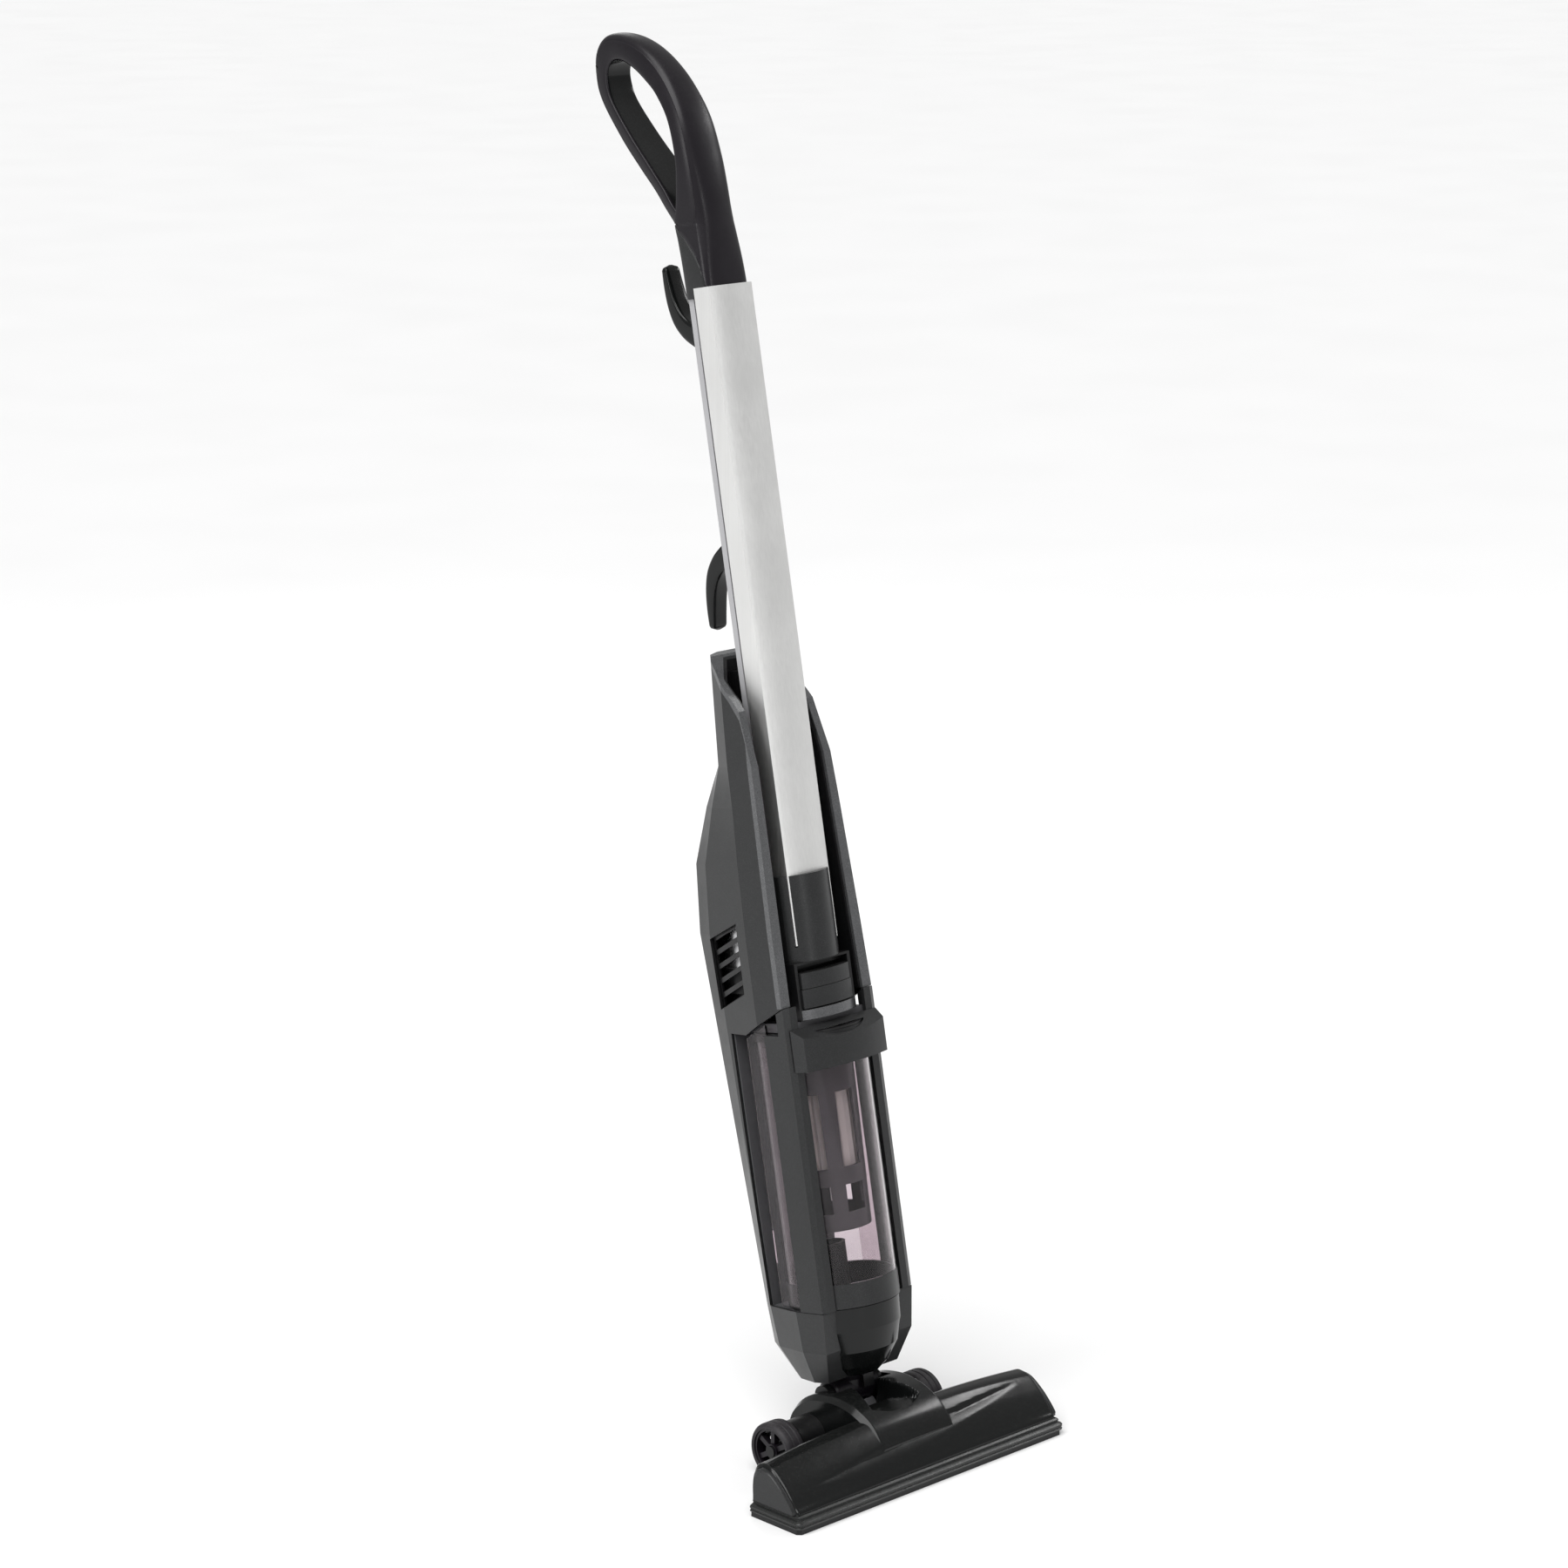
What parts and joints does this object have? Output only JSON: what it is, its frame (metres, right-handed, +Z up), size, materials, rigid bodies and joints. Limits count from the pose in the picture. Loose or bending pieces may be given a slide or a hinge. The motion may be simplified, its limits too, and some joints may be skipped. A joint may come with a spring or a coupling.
{
  "type": "cordless stick vacuum",
  "caption": "Upright stick vacuum: floor head with roller and tilting neck, hand unit with clear dust bin, silver tube with cord hooks and a looped handle.",
  "frame": {"origin": "middle of the floor head's sole, on the floor", "axes": "+X to the object's left seen from the front, -Y to the front where the suction mouth is, +Z up; the stick leans 10.7 degrees back toward +Y at rest"},
  "size_m": [0.296, 0.3723, 1.1051],
  "materials": {
    "gloss_black": "gloss",
    "shell_grey": "satin metallic flake",
    "accent_plum": "satin metallic",
    "liner_black": "satin",
    "inner_grey": "matt",
    "smoke_clear": "clear gloss",
    "silver_tube": "satin anodised",
    "light_strip": "satin",
    "silver_trim": "satin silver paint",
    "tyre_rubber": "matt",
    "band_rubber": "matt",
    "bristle": "bristle",
    "steel": "machined",
    "filter_white": "pleated",
    "cell_green": "wrap"
  },
  "bodies": {
    "head": {"head_cover": "gloss_black", "end_caps": "accent_plum", "bumper_band": "band_rubber", "sole_plate": "liner_black", "neck_cover": "gloss_black", "rear_chassis": "liner_black", "head_duct": "inner_grey", "neck_yoke": "liner_black", "wheel_axles": "liner_black", "brush_motor": "steel", "brush_bearings": "liner_black", "head_screws": "steel"},
    "wheel_left": {"tyre_left": "tyre_rubber", "hub_left": "accent_plum"},
    "wheel_right": {"tyre_right": "tyre_rubber", "hub_right": "accent_plum"},
    "brush": {"brush_core": "inner_grey", "brush_strips": "bristle"},
    "neck": {"neck_elbow": "accent_plum", "neck_clip": "liner_black", "neck_catch": "liner_black"},
    "hand_unit": {"housing_left": "shell_grey", "housing_right": "shell_grey", "rim_trim": "silver_trim", "cradle_liner": "liner_black", "rear_grille": "shell_grey", "side_grilles": "liner_black", "bowl_apron": "gloss_black", "swivel_socket": "liner_black", "inlet_pipe": "inner_grey", "inner_chassis": "inner_grey", "tube_socket": "shell_grey", "button_housing": "liner_black", "button_apron": "silver_trim", "tube_button_spring": "steel", "bin_button_spring": "steel", "main_motor": "steel", "motor_mount": "liner_black", "battery_pack": "cell_green", "control_board": "cell_green", "charge_socket": "liner_black"},
    "fan": {"impeller": "inner_grey"},
    "tube_release": {"tube_button": "shell_grey"},
    "bin_release": {"bin_button": "shell_grey"},
    "dust_bin": {"bin_frame": "shell_grey", "bin_vessel": "smoke_clear", "bin_windows": "smoke_clear", "bin_top_ring": "liner_black", "bin_hood": "shell_grey", "filter_basket": "inner_grey", "pleated_filter": "filter_white"},
    "stick": {"tube": "silver_tube", "slot_channel": "liner_black", "rear_strip": "light_strip", "hook_lower": "liner_black", "handle_front": "accent_plum", "handle_rear": "shell_grey", "grip_lining": "gloss_black"},
    "turning_hook": {"hook_upper": "liner_black"},
    "trigger": {"power_trigger": "silver_trim"}
  },
  "joints": [
    {"name": "neck_pitch", "type": "hinge", "parent": "head", "child": "neck", "pos_m": [0, 0.05409, 0.05285], "axis": [-1, 0, 0], "range_deg": [-10.7, 45]},
    {"name": "neck_swivel", "type": "hinge", "parent": "neck", "child": "hand_unit", "pos_m": [0, 0.05409, 0.05285], "axis": [0, 0.1857, 0.9826], "range_deg": [-60, 60]},
    {"name": "left_wheel_spin", "type": "hinge", "parent": "head", "child": "wheel_left", "pos_m": [-0.078, 0.054, 0.023], "axis": [1, 0, 0], "continuous": true},
    {"name": "right_wheel_spin", "type": "hinge", "parent": "head", "child": "wheel_right", "pos_m": [0.078, 0.054, 0.023], "axis": [1, 0, 0], "continuous": true},
    {"name": "brush_spin", "type": "hinge", "parent": "head", "child": "brush", "pos_m": [0, -0.014, 0.0175], "axis": [1, 0, 0], "continuous": true},
    {"name": "fan_spin", "type": "hinge", "parent": "hand_unit", "child": "fan", "pos_m": [0, 0.15761, 0.36913], "axis": [0, 0.1857, 0.9826], "continuous": true},
    {"name": "stick_lift", "type": "slide", "parent": "hand_unit", "child": "stick", "axis": [0, 0.1857, 0.9826], "range_m": [0, 0.07]},
    {"name": "tube_button_press", "type": "slide", "parent": "hand_unit", "child": "tube_release", "axis": [0, 0.9826, -0.1857], "range_m": [0, 0.003], "stiffness_N_per_m": 400},
    {"name": "bin_button_press", "type": "slide", "parent": "hand_unit", "child": "bin_release", "axis": [0, 0.9826, -0.1857], "range_m": [0, 0.003], "stiffness_N_per_m": 400},
    {"name": "bin_pull", "type": "slide", "parent": "hand_unit", "child": "dust_bin", "axis": [0, -0.9826, 0.1857], "range_m": [0, 0.11]},
    {"name": "hook_turn", "type": "hinge", "parent": "stick", "child": "turning_hook", "pos_m": [0, 0.20448, 0.87574], "axis": [0, 0.9826, -0.1857], "range_deg": [0, 180]},
    {"name": "trigger_press", "type": "slide", "parent": "stick", "child": "trigger", "axis": [0, -0.8415, 0.5402], "range_m": [0, 0.002], "stiffness_N_per_m": 400}
  ]
}
